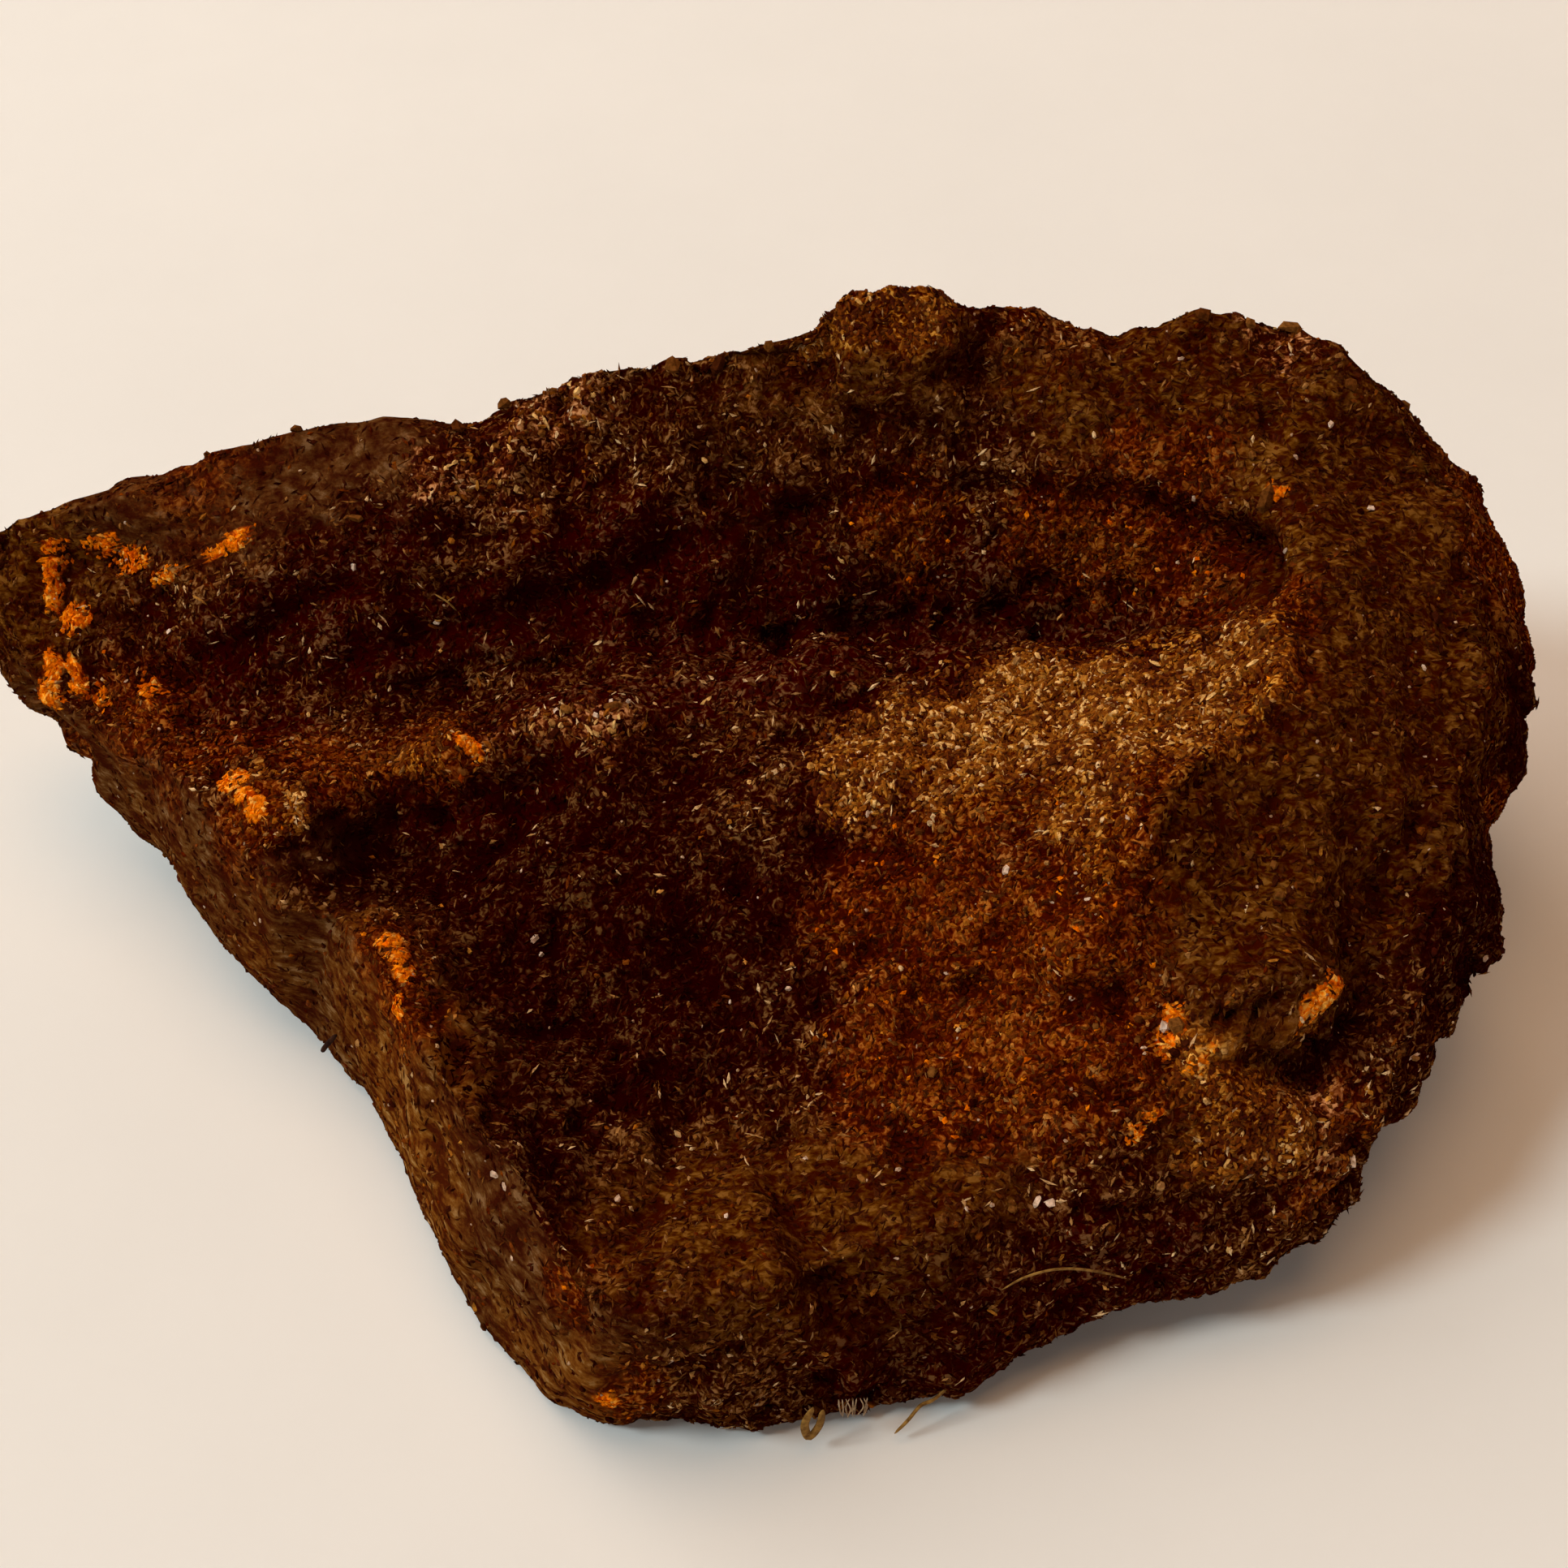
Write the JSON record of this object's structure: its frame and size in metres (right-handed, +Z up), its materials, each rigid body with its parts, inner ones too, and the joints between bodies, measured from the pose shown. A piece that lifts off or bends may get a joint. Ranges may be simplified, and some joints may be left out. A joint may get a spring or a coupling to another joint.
{
  "type": "iron ore rock",
  "caption": "Rough hand specimen of brown and rusty iron ore with a jagged back crest, a long hollow across the top and a steep left face, resting on a flat base.",
  "frame": {"origin": "middle of the object's box in plan, on the plane of the flat face that it rests on", "axes": "+X to the stone's right along its longest extent, +Y to the back with the jagged crest, +Z up, its shortest extent"},
  "size_m": [0.1128, 0.072, 0.0415],
  "materials": {
    "iron_ore": "dull, rough, earthy, dark brown with rusty patches"
  },
  "bodies": {
    "root": {"iron_ore_rock": "iron_ore"}
  },
  "joints": []
}
